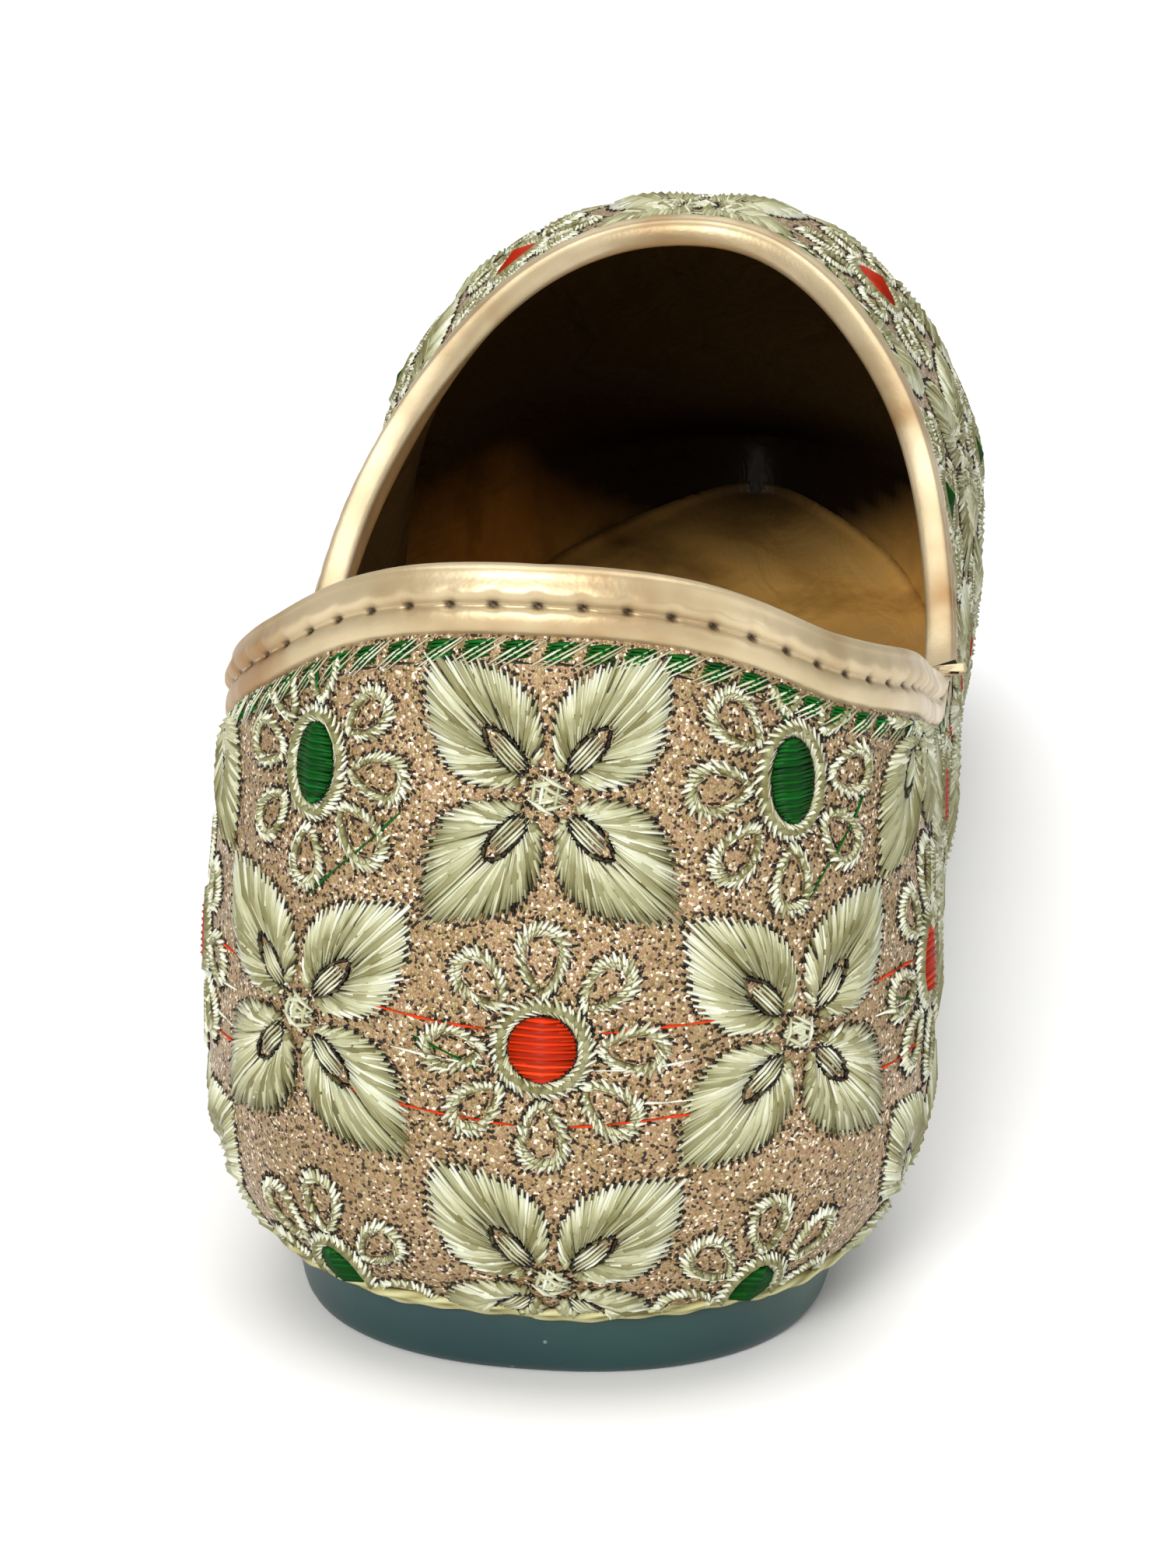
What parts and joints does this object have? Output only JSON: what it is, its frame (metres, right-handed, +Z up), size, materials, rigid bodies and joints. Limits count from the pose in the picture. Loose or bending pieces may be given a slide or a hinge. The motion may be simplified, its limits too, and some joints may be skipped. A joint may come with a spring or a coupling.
{
  "type": "mojari shoe",
  "caption": "Slip-on mojari for a left foot: embroidered fabric upper with a pointed toe, folded leather collar binding, low moulded rubber sole.",
  "frame": {"origin": "on the ground under the middle of the heel, in the flat heel of the sole", "axes": "+Y from the heel towards the toe, +Z up from the ground, -X the outer side of the foot"},
  "size_m": [0.0799, 0.276, 0.0843],
  "materials": {
    "outsole": "satin moulded rubber, dark teal",
    "upper": "rose-gold glitter fabric under pale green-gold embroidery",
    "collar_binding": "pale gold metallic leather",
    "insole": "tan leather, worn soft"
  },
  "bodies": {
    "root": {"outsole": "outsole", "upper": "upper", "collar_binding": "collar_binding", "insole": "insole"}
  },
  "joints": []
}
